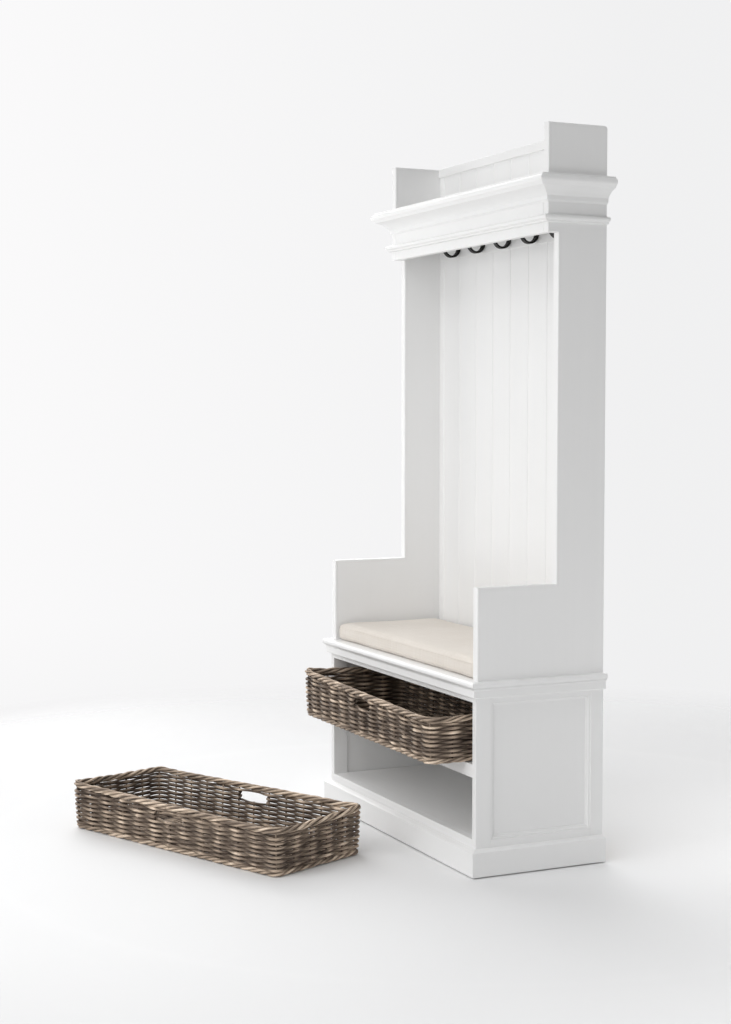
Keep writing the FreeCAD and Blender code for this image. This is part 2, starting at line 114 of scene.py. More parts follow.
def add(tree, kind, inputs=None, **settings):
    """Add one node with its properties set and its sockets filled."""
    node = tree.nodes.new(kind)
    for key, value in settings.items():
        setattr(node, key, value)
    fill(tree, node, inputs or {})
    return node


def maths(tree, operation, first, second=0.0, clamp=False):
    """One arithmetic step on two numbers; returns its output socket."""
    node = add(tree, "ShaderNodeMath", {0: first, 1: second}, operation=operation, use_clamp=clamp)
    return node.outputs[0]


def weighted(tree, *parts):
    """The sum of several values, each given as its share and the value."""
    total = 0.0
    for share, value in parts:
        total = add(tree, "ShaderNodeMath", {0: value, 1: share, 2: total},
                    operation="MULTIPLY_ADD").outputs[0]
    return total


def remap(tree, value, low, high, to_low, to_high):
    """Stretch a value from one range onto another, held at both ends."""
    node = add(tree, "ShaderNodeMapRange", {"Value": value, "From Min": low, "From Max": high,
                                            "To Min": to_low, "To Max": to_high})
    return node.outputs["Result"]


def between(tree, share, first, second):
    """A colour between two colours, by a share from 0 to 1."""
    node = add(tree, "ShaderNodeMix", {0: share, 6: first, 7: second}, data_type="RGBA")
    return node.outputs[2]


def noise(tree, place, scale, detail, roughness=0.55):
    """Soft noise between 0 and 1 at a place."""
    node = add(tree, "ShaderNodeTexNoise", {"Vector": place, "Scale": scale, "Detail": detail,
                                            "Roughness": roughness})
    return node.outputs[0]


def stretched(tree, place, scale):
    """A place with each axis multiplied by its own number."""
    return add(tree, "ShaderNodeMapping", {"Vector": place, "Scale": scale}).outputs[0]


def new_group(name, values, results):
    """A node group for a place and named values; returns tree, what is given and its end node."""
    tree = bpy.data.node_groups.new(name, "ShaderNodeTree")
    tree.interface.new_socket(name="Place", in_out="INPUT", socket_type="NodeSocketVector")
    for label in values:
        tree.interface.new_socket(name=label, in_out="INPUT", socket_type="NodeSocketFloat")
    for label in results:
        tree.interface.new_socket(name=label, in_out="OUTPUT", socket_type="NodeSocketFloat")
    return tree, tree.nodes.new("NodeGroupInput").outputs, tree.nodes.new("NodeGroupOutput")


def place_group(tree, group, inputs):
    """Put a finished group into a material."""
    return add(tree, "ShaderNodeGroup", inputs, node_tree=group)


def new_material(name):
    """A material with only its Principled BSDF; returns material, tree, shader, object place."""
    material = bpy.data.materials.new(name)
    material.use_nodes = True
    tree = material.node_tree
    return (material, tree, tree.nodes["Principled BSDF"],
            add(tree, "ShaderNodeTexCoord").outputs["Object"])


def bumped(tree, shader, height, depth, strength):
    """Feed a height into the shader's normal through a Bump node; depth is in metres."""
    bump = add(tree, "ShaderNodeBump", {"Height": height, "Distance": depth, "Strength": strength})
    tree.links.new(bump.outputs[0], shader.inputs["Normal"])


print("node helpers ready")

# %% [markdown]
# ## Effects that several finishes share
#
# Streaks run along a grain: noise in a place that changes slowly along the grain and fast across
# it. Cloudiness is slow noise, for the uneven tone of any handmade finish. Pitting keeps only the
# dark tail of fine noise, for small dents and pores. Each becomes a node group once, and a short
# function places it.

# %% Streaks group
def make_streaks():
    """Noise in a place already stretched along the grain, in two sizes, as a mask and a height."""
    tree, given, end = new_group("Streaks", ("Coarse", "Fine"), ("Mask", "Height"))
    coarse = noise(tree, given["Place"], given["Coarse"], 2.0)
    fine = noise(tree, given["Place"], given["Fine"], 3.0, 0.65)
    fill(tree, end, {"Mask": remap(tree, coarse, 0.35, 0.68, 0.0, 1.0),
                     "Height": weighted(tree, (0.6, coarse), (0.4, fine))})
    return tree


streaks = make_streaks()


def streaked(tree, place, stretch, coarse, fine):
    """Streaks at a place stretched axis by axis; returns their mask and their height."""
    node = place_group(tree, streaks, {"Place": stretched(tree, place, stretch),
                                       "Coarse": coarse, "Fine": fine})
    return node.outputs["Mask"], node.outputs["Height"]


# %% Cloudiness group
def make_cloudiness():
    """Slow noise, its middle stretched by the contrast, as a mask from 0 to 1."""
    tree, given, end = new_group("Cloudiness", ("Scale", "Contrast"), ("Mask",))
    slow = noise(tree, given["Place"], given["Scale"], 4.0)
    centred = maths(tree, "MULTIPLY", maths(tree, "SUBTRACT", slow, 0.5), given["Contrast"])
    mask = maths(tree, "ADD", maths(tree, "MULTIPLY", centred, 2.0), 0.5, clamp=True)
    fill(tree, end, {"Mask": mask})
    return tree


cloudiness = make_cloudiness()


def clouded(tree, place, scale, contrast):
    """A slow uneven tone at a place, as a mask."""
    return place_group(tree, cloudiness, {"Place": place, "Scale": scale,
                                          "Contrast": contrast}).outputs["Mask"]


# %% Pitting group
def make_pitting():
    """Fine noise whose lowest part is kept as pits: 0 in a pit and 1 on the plain surface."""
    tree, given, end = new_group("Pitting", ("Scale", "Share"), ("Height",))
    fine = noise(tree, given["Place"], given["Scale"], 2.0, 0.6)
    pits = add(tree, "ShaderNodeMapRange", {"Value": fine, "From Min": 0.2,
                                            "From Max": given["Share"]},
               interpolation_type="SMOOTHSTEP")
    fill(tree, end, {"Height": pits.outputs[0]})
    return tree


pitting = make_pitting()


def pitted(tree, place, scale, share):
    """Small pits at a place, as a height; a larger share makes more of them."""
    return place_group(tree, pitting, {"Place": place, "Scale": scale,
                                       "Share": share}).outputs["Height"]


print("shared groups:", [g.name for g in (streaks, cloudiness, pitting)])

# %% [markdown]
# ## Painted wood
#
# The furniture is solid wood under a smooth white lacquer, which never quite hides the grain. So
# each board gets very shallow streaks along its length, a hint of uneven tone, and a sheen that
# varies a little. Boards run three ways, so there are three paints, one for each axis.

# %% Painted wood, one for each grain direction
paint_light = (0.868, 0.868, 0.865, 1.0)
paint_dark = (0.855, 0.855, 0.852, 1.0)


def painted_wood(name, stretch):
    """White lacquer over grain; stretch is small along the board and large across it."""
    material, tree, shader, place = new_material(name)
    grain, ridges = streaked(tree, place, stretch, coarse=3.0, fine=14.0)
    cloud = clouded(tree, place, scale=5.0, contrast=1.2)
    dust = pitted(tree, place, scale=900.0, share=0.36)
    tone = weighted(tree, (0.35, grain), (0.65, cloud))
    fill(tree, shader, {"Base Color": between(tree, tone, paint_light, paint_dark),
                        "Roughness": remap(tree, tone, 0.0, 1.0, 0.34, 0.46),
                        "Specular IOR Level": 0.42})
    bumped(tree, shader, weighted(tree, (1.0, ridges), (0.15, dust)), depth=0.16 * MM, strength=0.35)
    return material


along_grain = 1.2
across_grain = 26.0
paint_x, paint_y, paint_z = (
    painted_wood("white_paint_grain_" + letter,
                 [along_grain if letter == axis else across_grain for axis in "xyz"])
    for letter in "xyz")
print("paints:", paint_x.name, paint_y.name, paint_z.name)

# %% [markdown]
# ## Bare pine
#
# Blocks, cleats and battens stay unpainted inside. Pine shows wide pale bands with narrow darker
# late wood between them. A wave texture, bent by noise, draws those bands, and the shared streaks
# add the fine fibres.

# %% Bare pine
def bare_pine():
    """Pale yellow wood: banded rings along X, bent by noise."""
    material, tree, shader, place = new_material("bare_pine")
    grain, ridges = streaked(tree, place, (1.5, 30.0, 30.0), coarse=2.0, fine=9.0)
    rings = add(tree, "ShaderNodeTexWave", {"Vector": stretched(tree, place, (1.0, 9.0, 9.0)),
                                            "Scale": 4.0, "Distortion": 5.0, "Detail": 2.0},
                bands_direction="DIAGONAL")
    band = maths(tree, "POWER", rings.outputs[1], 3.0)
    wood = between(tree, band, (0.74, 0.56, 0.36, 1.0), (0.52, 0.32, 0.15, 1.0))
    shade = maths(tree, "MULTIPLY", grain, 0.3)
    fill(tree, shader, {"Base Color": between(tree, shade, wood, (0.62, 0.44, 0.26, 1.0)),
                        "Roughness": remap(tree, band, 0.0, 1.0, 0.62, 0.48)})
    bumped(tree, shader, ridges, depth=0.4 * MM, strength=0.5)
    return material


pine = bare_pine()
print("bare wood:", pine.name)

# %% [markdown]
# ## Iron, screws and glides
#
# The hooks are forged iron under black wax: almost black, with a soft gloss that breaks up where
# the hammer left shallow dents. The screws are blackened too, but turned, so they are a little
# lighter and smoother. The glides under the plinth are pale nylon.

# %% Black iron and dark screws
def dark_metal(name, tone, dent_scale, dent_depth, rough):
    """Blackened metal: cloudy tone, dents from the pitting group, roughness between two values."""
    material, tree, shader, place = new_material(name)
    cloud = clouded(tree, place, scale=60.0, contrast=1.6)
    lighter = tuple(c * 2.2 for c in tone) + (1.0,)
    fill(tree, shader, {"Base Color": between(tree, cloud, tone + (1.0,), lighter),
                        "Roughness": remap(tree, cloud, 0.0, 1.0, *rough), "Metallic": 0.55})
    bumped(tree, shader, pitted(tree, place, dent_scale, share=0.6), dent_depth, strength=0.6)
    return material


iron = dark_metal("black_iron", (0.009, 0.0085, 0.008), 260.0, 0.6 * MM, (0.42, 0.60))
screw_steel = dark_metal("black_screw_steel", (0.03, 0.03, 0.031), 1500.0, 0.1 * MM, (0.28, 0.4))

# %% Nylon glides
def nylon():
    """Milky plastic with a faint mottling and fine scuffs."""
    material, tree, shader, place = new_material("nylon_glide")
    cloud = clouded(tree, place, scale=90.0, contrast=1.0)
    scuffs = pitted(tree, place, scale=1200.0, share=0.45)
    fill(tree, shader, {
        "Base Color": between(tree, cloud, (0.62, 0.61, 0.58, 1.0), (0.5, 0.49, 0.46, 1.0)),
        "Roughness": remap(tree, scuffs, 0.0, 1.0, 0.6, 0.4)})
    bumped(tree, shader, scuffs, depth=0.1 * MM, strength=0.5)
    return material


glide_nylon = nylon()
print("small materials:", iron.name, screw_steel.name, glide_nylon.name)

# %% [markdown]
# ## Dressing the frame's own pieces
#
# The record says which finish each node takes. For paint there is one more question: which way
# the board runs. A board is longest along its grain, so the node's own box answers it, except
# for wide upright panels and the boarded back, whose boards stand.

# %% Dress the CAD nodes
slot_of = {part["node"]: part["material_slot"] for part in frame["record"]["subparts"]}
plain_finish = {"bare_pine": pine, "black_iron": iron, "black_screw": screw_steel,
                "nylon_glide": glide_nylon}
upright_nodes = {"back_planks", "upper_planks", "right_hutch_side", "left_hutch_side",
                 "right_panel", "left_panel", "cabinet_back"}


def paint_for(node):
    """The paint whose grain runs along the node's longest side."""
    low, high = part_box(node)
    longest = max(range(3), key=lambda axis: high[axis] - low[axis])
    if node in upright_nodes:
        longest = 2
    return (paint_x, paint_y, paint_z)[longest]


dressed = {}
for node, obj in frame["nodes"].items():
    finish = plain_finish.get(slot_of[node]) or paint_for(node)
    obj.data.materials.clear()
    obj.data.materials.append(finish)
    dressed[finish.name] = dressed.get(finish.name, 0) + 1
print("dressed:", dressed)

# %% [markdown]
# ## Surfaces from arrays
#
# Everything woven here is a tube: a circle carried along a path. All the tubes of one piece are
# stacked into a single mesh, which also stores where every point lies on its own rod, so that the
# colour and the fibres of a rod can follow it round the basket.

# %% Mesh from arrays
def mesh_from_arrays(name, points, *faces):
    """A mesh from a point array and arrays of faces, one array for each number of corners."""
    corners = np.concatenate([some.ravel() for some in faces]).astype(np.int32)
    sizes = np.concatenate([np.full(len(some), some.shape[1]) for some in faces])
    starts = (np.cumsum(sizes) - sizes).astype(np.int32)
    mesh = bpy.data.meshes.new(name)
    mesh.vertices.add(len(points))
    mesh.vertices.foreach_set("co", points.astype(np.float32).ravel())
    mesh.loops.add(len(corners))
    mesh.loops.foreach_set("vertex_index", corners)
    mesh.polygons.add(len(sizes))
    mesh.polygons.foreach_set("loop_start", starts)
    mesh.update(calc_edges=True)
    mesh.validate()
    mesh.shade_smooth()
    return mesh


def object_from_mesh(name, mesh, material):
    """An object at the origin that shows the mesh in one material."""
    mesh.materials.clear()
    mesh.materials.append(material)
    return linked(name, mesh)


def coordinates(mesh):
    """All the points of a mesh as an array of rows."""
    values = np.zeros(len(mesh.vertices) * 3)
    mesh.vertices.foreach_get("co", values)
    return values.reshape(-1, 3)


def store(mesh, name, values):
    """Keep values at a mesh's points as an attribute: rows of three, or single numbers."""
    kind, key = ("FLOAT_VECTOR", "vector") if values.ndim == 2 else ("FLOAT", "value")
    attribute = mesh.attributes.new(name, kind, "POINT")
    attribute.data.foreach_set(key, values.astype(np.float32).ravel())


def unit(vectors):
    """Each row divided by its own length."""
    return vectors / np.linalg.norm(vectors, axis=-1, keepdims=True)


print("mesh helpers ready")

# %% One tube along a path
own_share = 0.45
straight_up = np.array([0.0, 0.0, 1.0])


def bleached_and_shaded(tint, standing):
    """Sun and hands bleach a rod where it stands out, and the gaps are darkened as painted shade.

    The rod's own tint gives its share, and the rest is the cube of how far out the point stands.
    """
    return own_share * tint + (1.0 - own_share) * np.minimum(standing, 1.0) ** 3


def tube(path, radius, reference, sides, closed, tint, fibre_start=0.0, middle=None, reach=1.0):
    """A circle carried along a path.

    The direction of travel is the difference between the points on either side. Crossed with the
    reference direction it gives the circle's first axis, and crossed again its second. Each ring
    is the path point plus the radius times cosine and sine of the turn along those axes. The rod
    place is (distance along the rod, and the ring's cosine and sine times the radius). Where a
    middle path is given, how far each point stands off it, as a share of the reach, lightens its
    tint, and nearness to it darkens it: bleaching, and painted shade in the gaps.
    Radius and tint may be one number for the whole tube.
    """
    radius = np.broadcast_to(radius, len(path))
    tint = np.broadcast_to(tint, len(path))
    travel = np.roll(path, -1, 0) - np.roll(path, 1, 0)
    if not closed:
        travel[0] = path[1] - path[0]
        travel[-1] = path[-1] - path[-2]
    travel = unit(travel)
    first = unit(np.cross(travel, reference))
    second = np.cross(first, travel)
    turn = np.arange(sides) * (2.0 * np.pi / sides)
    ring = (np.cos(turn)[None, :, None] * first[:, None, :]
            + np.sin(turn)[None, :, None] * second[:, None, :])
    points = path[:, None, :] + radius[:, None, None] * ring
    step = np.linalg.norm(np.diff(path, axis=0), axis=1)
    distance = np.concatenate([[0.0], np.cumsum(step)]) + fibre_start
    rod = np.stack(np.broadcast_arrays(distance[:, None], radius[:, None] * np.cos(turn),
                                       radius[:, None] * np.sin(turn)), -1)
    tints = np.repeat(tint[:, None], sides, 1)
    if middle is not None:
        # painted shade: darker near the middle path, lighter where the point stands out
        tints = bleached_and_shaded(tints, np.linalg.norm(points - middle[:, None, :], axis=2) / reach)
    rings = len(path)
    here = np.arange(rings if closed else rings - 1)
    after = (here + 1) % rings
    side = np.arange(sides)
    next_side = (side + 1) % sides
    quads = np.stack([here[:, None] * sides + side, after[:, None] * sides + side,
                      after[:, None] * sides + next_side, here[:, None] * sides + next_side], -1)
    caps = None if closed else np.stack([side, (rings - 1) * sides + side[::-1]])
    return {"points": points.reshape(-1, 3), "quads": quads.reshape(-1, 4), "caps": caps,
            "rod": rod.reshape(-1, 3), "tint": tints.ravel()}


# %% Many tubes in one mesh
def mesh_of_tubes(name, tubes):
    """Stack tubes into one mesh, each one's face numbers moved on by the points before it."""
    offsets = np.cumsum([0] + [len(t["points"]) for t in tubes])
    points = np.concatenate([t["points"] for t in tubes])
    quads = np.concatenate([t["quads"] + o for t, o in zip(tubes, offsets)])
    caps = [t["caps"] + o for t, o in zip(tubes, offsets) if t["caps"] is not None]
    mesh = mesh_from_arrays(name, points, quads, *([np.concatenate(caps)] if caps else []))
    store(mesh, "rod_place", np.concatenate([t["rod"] for t in tubes]))
    store(mesh, "rod_tint_and_shade", np.concatenate([t["tint"] for t in tubes]))
    return mesh


print("tube helpers ready")

# %% [markdown]
# ## Grey cane
#
# Cane that has been soaked and smoked dries to many greys and browns, and no two rods match. Each
# one carries its own tint, which picks a colour from a ramp. The tint also holds painted shade:
# darker where a rod sinks into the gaps of the weave, and lighter where it stands out. Fibres run
# along it, small dark pores dot it, and slow noise bleaches patches. All of this reads the rod's
# own place, so it follows the weave. Only a broad weathering over many rods reads the place on the
# whole object.

# %% Cane material
cane_colours = ((0.18, (0.040, 0.0275, 0.0205)), (0.32, (0.137, 0.102, 0.079)),
                (0.50, (0.265, 0.206, 0.160)), (0.65, (0.53, 0.415, 0.315)),
                (0.80, (0.90, 0.745, 0.595)))


def grey_cane():
    """Weathered cane: a ramp over tint and painted shade, moved by patches, fibres and weathering."""
    material, tree, shader, place = new_material("grey_cane")
    rod = add(tree, "ShaderNodeAttribute", attribute_name="rod_place").outputs["Vector"]
    tint = add(tree, "ShaderNodeAttribute", attribute_name="rod_tint_and_shade").outputs["Fac"]
    fibres, ridges = streaked(tree, rod, (9.0, 220.0, 220.0), coarse=1.6, fine=7.0)
    patches = clouded(tree, stretched(tree, rod, (1.0, 4.0, 4.0)), scale=26.0, contrast=1.5)
    weather = clouded(tree, place, scale=7.0, contrast=1.3)
    pores = pitted(tree, stretched(tree, rod, (0.35, 1.0, 1.0)), scale=1500.0, share=0.45)
    # The tint attribute holds each rod's own tint plus painted shade in the gaps of the weave.
    mixed = weighted(tree, (0.52, tint), (0.24, patches), (0.14, fibres), (0.10, weather))
    ramp = add(tree, "ShaderNodeValToRGB", {"Fac": mixed})
    stops = ramp.color_ramp.elements
    stops.remove(stops[1])
    for number, (position, colour) in enumerate(cane_colours):
        stop = stops.new(position) if number else stops[0]
        stop.position = position
        stop.color = (*colour, 1.0)
    fill(tree, shader, {"Base Color": between(tree, pores, (0.10, 0.075, 0.06, 1.0), ramp.outputs[0]),
                        "Roughness": remap(tree, mixed, 0.2, 0.9, 0.52, 0.74),
                        "Specular IOR Level": 0.2})
    bumped(tree, shader, ridges, depth=0.9 * MM, strength=0.8)
    return material


cane = grey_cane()
print("cane:", cane.name)

# %% [markdown]
# ## The plan of a basket
#
# A basket is woven round upright stakes that follow a rounded rectangle: a closed line that knows
# its point and its outward direction at each distance along it. Stakes stand at each corner, in
# the middle and at both ends of each hand hole, and evenly between. Counting them makes the weave
# a single cosine of their number.

# %% Basket sizes, from the frame
def footprint(node):
    """Centre, turn, half sizes and both heights of a node; its points spread least across its turn."""
    low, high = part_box(node)
    centre = np.array([(low[0] + high[0]) / 2.0, (low[1] + high[1]) / 2.0])
    flat = coordinates(frame["nodes"][node].data)[:, :2] - centre
    best = min(np.radians(np.arange(-90.0, 90.0, 0.05)), key=lambda a: np.ptp(
        flat @ np.array([-math.sin(a), math.cos(a)])))
    long_way = np.array([math.cos(best), math.sin(best)])
    half_long = np.ptp(flat @ long_way) / 2.0
    half_short = np.ptp(flat @ np.array([-long_way[1], long_way[0]])) / 2.0
    return centre, best, half_long, half_short, low[2], high[2]


_, _, rim_half_x, rim_half_y, border_low, border_high = footprint("upper_basket_border")
foot_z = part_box("upper_basket_base")[0][2]
border_foot = border_low - foot_z
border_top = border_high - foot_z
rim_proud = 2.0 * MM
basket_flare = 6.0 * MM
wall_half_x = rim_half_x - rim_proud - basket_flare
wall_half_y = rim_half_y - rim_proud - basket_flare
print("basket rim in mm:", round(rim_half_x / MM, 1), round(rim_half_y / MM, 1),
      "border from", round(border_foot / MM, 1), "to", round(border_top / MM, 1))

# %% The closed plan line
cane_inset = 5.6 * MM
plan_radius = 14.0 * MM


def closed_plan(half_x, half_y, radius, corner_points=13):
    """A rounded rectangle walked anticlockwise from the middle of the front.

    Four quarter circles, each with its centre one radius in from two sides, joined by the
    straight runs between them. Returns distance, point and outward direction as arrays.
    """
    sweep = np.linspace(0.0, np.pi / 2.0, corner_points)
    starts = np.array([-0.5, 0.0, 0.5, 1.0]) * np.pi
    centres = np.array([[half_x, -half_y], [half_x, half_y], [-half_x, half_y], [-half_x, -half_y]])
    centres = centres - np.sign(centres) * radius
    angles = (starts[:, None] + sweep[None, :]).ravel()
    outward = np.stack([np.cos(angles), np.sin(angles)], -1)
    points = np.repeat(centres, len(sweep), axis=0) + radius * outward
    front = np.array([[0.0, -half_y]])
    down = np.array([[0.0, -1.0]])
    points = np.concatenate([front, points, front])
    outward = np.concatenate([down, outward, down])
    step = np.linalg.norm(np.diff(points, axis=0), axis=1)
    distance = np.concatenate([[0.0], np.cumsum(step)])
    return distance, points, outward


def along(distance, run, rows):
    """Rows of a line's table, read at distances along its run."""
    return np.stack([np.interp(distance, run, rows[:, axis]) for axis in (0, 1)], -1)


plan_distance, plan_points, plan_outward = closed_plan(
    wall_half_x - cane_inset, wall_half_y - cane_inset, plan_radius)
plan_length = plan_distance[-1]


def on_plan(distance):
    """Point and outward direction at distances along the plan, which repeats after its length."""
    distance = np.mod(distance, plan_length)
    return (along(distance, plan_distance, plan_points),
            unit(along(distance, plan_distance, plan_outward)))


print("basket goes round in", round(plan_length / MM), "mm")

# %% Stakes round the plan
hole_half = 60.0 * MM
straight_x = wall_half_x - cane_inset - plan_radius
straight_y = wall_half_y - cane_inset - plan_radius
corner_run = plan_radius * math.pi / 4.0
corner_1 = straight_x + corner_run
corner_2 = corner_1 + 2.0 * (corner_run + straight_y)
back_middle = plan_length / 2.0
one_way = np.array([0.0, hole_half, corner_1, corner_2, back_middle - hole_half, back_middle])
landmarks = np.concatenate([one_way, plan_length - one_way[-2::-1]])
bays = [1, 5, 5, 5, 1] * 2
stake_distance = np.concatenate(
    [np.linspace(a, b, n, endpoint=False) for a, b, n in zip(landmarks, landmarks[1:], bays)]
    + [[plan_length]])
stake_count = len(stake_distance) - 1
stake_number = np.arange(stake_count + 1)
print("stakes:", stake_count, "bay in mm:", np.round(np.diff(stake_distance)[:8] / MM, 1))

# %% [markdown]
# ## The weave
#
# Each row goes in front of one stake and behind the next, and the row above does the opposite.
# With stakes numbered along the plan, a row's distance from the wall's middle is a cosine of half
# a turn per stake, and adding the row's own number swaps front and back. Small random drifts in
# height, thickness and tint make it look handmade. Rods are shorter than a row, so their tint and
# taper start again at a few random stakes.

# %% Weave values
rows = 16
foot_border_height = 14.0 * MM
row_pitch = (border_foot - foot_border_height) / rows
rod_radius = 3.45 * MM
weave_depth = 5.3 * MM
height_drift = 0.5 * MM
depth_drift = 0.16
thickness_drift = 0.08
rod_taper = 0.1
turn_reach = 5.2 * MM
samples_per_bay = 10
rod_sides = 8
thin_sides = 7
hole_rows = (11, 12, 13, 14)
rods_in_row = 12


def swelling(swing):
    """A soaked rod spreads where it bends over a stake and is pinched where two rows cross.

    It is 0.92 of its radius at the crossing, and the square of the swing adds up to 0.24.
    """
    return 0.92 + 0.24 * swing ** 2


stand_out = weave_depth + swelling(1.0) * rod_radius


def row_height(row):
    """Height of a row's middle over the basket's foot."""
    return foot_border_height + row_pitch * (row + 0.5)


def lean_at(z):
    """How far the flaring wall has moved outwards at a height."""
    return basket_flare * z / border_top


def start_of_fibres(random):
    """Where a rod starts along the fibre noise, so that no two rods share their fibres."""
    return random.uniform(0.0, 50.0)


def drifting(random, place, size):
    """Slow random values along a row, drawn at the stakes; the last one closes on the first."""
    values = random.uniform(-size, size, stake_count)
    return np.interp(place, stake_number, np.concatenate([values, values[:1]]))


def rod_lengths(random, place, shortest=8, longest=14):
    """Tint and thickness along a row: each rod is a run of stakes with its own tint and a taper."""
    ends = np.cumsum(random.integers(shortest, longest, rods_in_row)) - random.integers(0, shortest)
    which = np.searchsorted(ends, place, side="right")
    starts = np.concatenate([[ends[0] - longest], ends])
    runs = np.diff(np.concatenate([starts, [starts[-1] + longest]]))
    share = np.clip((place - starts[which]) / runs[which], 0.0, 1.0)
    tints = random.uniform(0.0, 1.0, len(starts) + 1)
    thickness = random.uniform(1.0 - thickness_drift, 1.0 + thickness_drift, len(starts) + 1)
    return tints[which], thickness[which] * (1.0 + rod_taper * (1.0 - 2.0 * share))


print("rows:", rows, "pitch in mm:", round(row_pitch / MM, 2))

# %% Rows that go all the way round
def wall_path(place, side, height):
    """Points on the wall: place counts stakes, side is the distance outwards from its middle."""
    point, outward = on_plan(np.interp(np.mod(place, stake_count), stake_number, stake_distance))
    path = np.column_stack([point + outward * (lean_at(height) + side)[:, None], height])
    return path, np.column_stack([outward, np.zeros(len(outward))])


def woven_rod(random, place, depth, swing, height, tint, thickness):
    """One closed rod of the wall, bleached where it stands out and given painted shade in the gaps."""
    path, outward = wall_path(place, depth * swing, height)
    middle = path - outward * (depth * swing)[:, None]
    return tube(path, rod_radius * thickness * swelling(swing), outward, rod_sides, True, tint,
                start_of_fibres(random), middle, stand_out)


def row_tubes(random):
    """One closed tube for each row that no hand hole cuts."""
    tubes = []
    place = np.arange(stake_count * samples_per_bay) / samples_per_bay
    for row in (r for r in range(rows) if r not in hole_rows):
        height = row_height(row) + drifting(random, place, height_drift)
        depth = weave_depth * (1.0 + drifting(random, place, depth_drift))
        swing = np.cos(np.pi * (place + row))
        tint, thickness = rod_lengths(random, place)
        tubes.append(woven_rod(random, place, depth, swing, height, tint, thickness))
    return tubes


# %% Rows that turn back at the hand holes
def turned_row_tubes(random):
    """Closed loops beside the holes: one row out, half a turn round the last stake, one row back.

    In the turn the rod moves past the stake by a sine, crosses from front to back by a cosine,
    and climbs one row pitch by the same cosine.
    """
    tubes = []
    first_stake = 1
    last_stake = stake_count // 2 - 1
    half_turn = np.linspace(0.0, np.pi, 7)[1:-1]
    end = np.ones(len(half_turn))
    reach = turn_reach / hole_half * np.sin(half_turn)
    for lower in hole_rows[::2]:
        for shift in (0, stake_count // 2):
            place = np.arange(first_stake * samples_per_bay,
                              last_stake * samples_per_bay + 1) / samples_per_bay + shift
            there = np.cos(np.pi * (place[-1] + lower))
            here = np.cos(np.pi * (place[0] + lower))
            walk = np.concatenate([place, place[-1] + reach, place[::-1], place[0] - reach])
            swing = np.concatenate([np.cos(np.pi * (place + lower)), there * np.cos(half_turn),
                                    np.cos(np.pi * (place[::-1] + lower + 1)),
                                    -here * np.cos(half_turn)])
            climb = np.concatenate([np.zeros(len(place)), (1.0 - np.cos(half_turn)) / 2.0,
                                    np.ones(len(place)), (1.0 + np.cos(half_turn)) / 2.0])
            height = (row_height(lower) + climb * row_pitch
                      + drifting(random, np.mod(walk, stake_count), height_drift))
            tint, thickness = rod_lengths(random, place)
            back_tint, back_thickness = rod_lengths(random, place)
            tint = np.concatenate([tint, end * tint[-1], back_tint[::-1], end * tint[0]])
            thickness = np.concatenate([thickness, end, back_thickness[::-1], end])
            tubes.append(woven_rod(random, walk, weave_depth, swing, height, tint, thickness))
    return tubes


# %% Stakes
stake_radius = 2.5 * MM
stake_foot = 3.0 * MM
into_border = 6.0 * MM


def stake_tubes(random, points=9):
    """An upright rod at each stake, from the foot to the border, or to the sill of a hand hole."""
    tubes = []
    sill = row_height(hole_rows[0]) - row_pitch * 0.6
    for number in range(stake_count):
        top = sill if number in (0, stake_count // 2) else border_foot + into_border
        path, outward = wall_path(np.full(points, float(number)), np.zeros(points),
                                  np.linspace(stake_foot, top, points))
        tint = random.uniform(0.0, 0.6)
        tubes.append(tube(path, stake_radius, outward, thin_sides, False, tint,
                          start_of_fibres(random)))
    return tubes


print("weave functions ready")

# %% [markdown]
# ## Borders and base
#
# The top edge is a rope: four thick rods lie round each other in a long twist, so that slanting
# strokes show on the outside. The foot has a thinner rope of three. A rope strand is the plan
# line moved outwards by a cosine and upwards by a sine of the same turning angle, and the corners
# of the rim ride up slightly, where the rods are forced round them. The base is a plain weave
# over sticks.

# %% Rope borders
points_per_turn = 20
corner_width = 28.0 * MM
turn_drift = 0.22
swing_drift = 0.1


def rope_tubes(random, strands, twist, centre_side, centre_height, swing, radius, corner_lift):
    """Strands that wind round a closed line parallel to the plan.

    Each corner lifts the rope by a bell curve of the distance from it.
    """
    turns = round(plan_length / twist)
    count = turns * points_per_turn
    distance = np.arange(count) * plan_length / count
    place = np.interp(distance, stake_distance, stake_number)
    corners = np.array([corner_1, corner_2, plan_length - corner_2, plan_length - corner_1])
    away = np.abs(distance[:, None] - corners[None, :])
    lift = (corner_lift * random.uniform(0.5, 1.0, 4) * np.exp(-(away / corner_width) ** 2)).sum(1)
    point, outward = on_plan(distance)
    heart_side = lean_at(centre_height) + centre_side
    middle = np.column_stack([point + outward * heart_side, centre_height + lift])
    level = np.column_stack([outward, np.zeros(count)])
    tubes = []
    for strand in range(strands):
        angle = (2.0 * np.pi * (distance / plan_length * turns + strand / strands)
                 + drifting(random, place, turn_drift))
        squeeze = 1.0 + drifting(random, place, swing_drift)
        side = heart_side + swing[0] * squeeze * np.cos(angle)
        height = centre_height + swing[1] * squeeze * np.sin(angle) + lift
        path = np.column_stack([point + outward * side[:, None], height])
        tint, thickness = rod_lengths(random, place, 5, 9)
        # Strands are lighter on the outside and darker near the rope's heart: painted shade between
        # them.
        tubes.append(tube(path, radius * thickness, level, rod_sides, True, 0.15 + 0.85 * tint,
                          start_of_fibres(random), middle, radius + swing[0]))
    return tubes


# %% Woven base
base_gaps = 11
base_middle = 6.4 * MM
base_swing = 3.3 * MM
base_rod_radius = 2.75 * MM
base_rod_pitch = 6.3 * MM
stick_radius = 2.3 * MM


